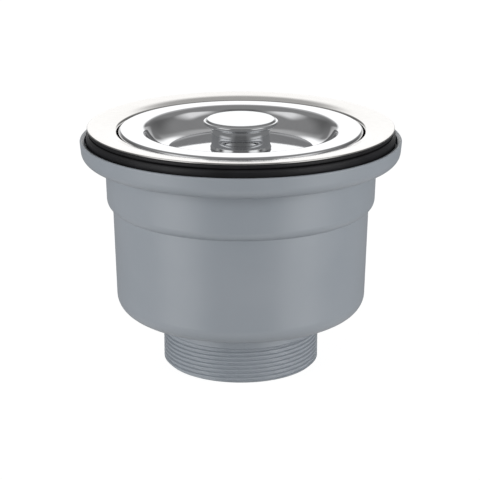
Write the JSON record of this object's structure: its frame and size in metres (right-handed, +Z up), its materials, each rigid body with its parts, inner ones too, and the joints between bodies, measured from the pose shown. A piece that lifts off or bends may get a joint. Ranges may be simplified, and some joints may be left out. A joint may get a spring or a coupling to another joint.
{
  "type": "basket strainer waste",
  "caption": "Sink basket strainer waste: grey moulded cup with threaded outlet, steel flange on rubber seals, perforated basket and a dished lid with a knob.",
  "frame": {"origin": "centre of the outlet's end face, which is also the lowest point", "axes": "+Z up along the axis of the waste, from the outlet to the lid; X and Y lie in the flange's plane, along the ribs of the spider"},
  "size_m": [0.1194, 0.1194, 0.0939],
  "materials": {
    "body_grey": "moulded polypropylene, satin grey",
    "rubber_black": "soft black sealing rubber",
    "steel_pressed": "pressed stainless sheet, polished",
    "steel_lid": "pressed stainless sheet, mirror polished",
    "chrome_knob": "bright chrome plating",
    "steel_fastener": "turned stainless steel",
    "brass_insert": "turned brass"
  },
  "bodies": {
    "root": {"waste_body": "body_grey", "boss_insert": "brass_insert", "body_gasket": "rubber_black", "flange_seal": "rubber_black", "strainer_bowl": "steel_pressed", "bolt_washer": "steel_fastener", "centre_bolt": "steel_fastener", "basket_cup": "steel_pressed", "basket_post": "steel_fastener", "basket_washer": "steel_fastener", "basket_nut": "steel_fastener", "lid_pan": "steel_lid", "lid_knob": "chrome_knob", "lid_washer": "steel_fastener", "lid_screw": "steel_fastener"}
  },
  "joints": []
}
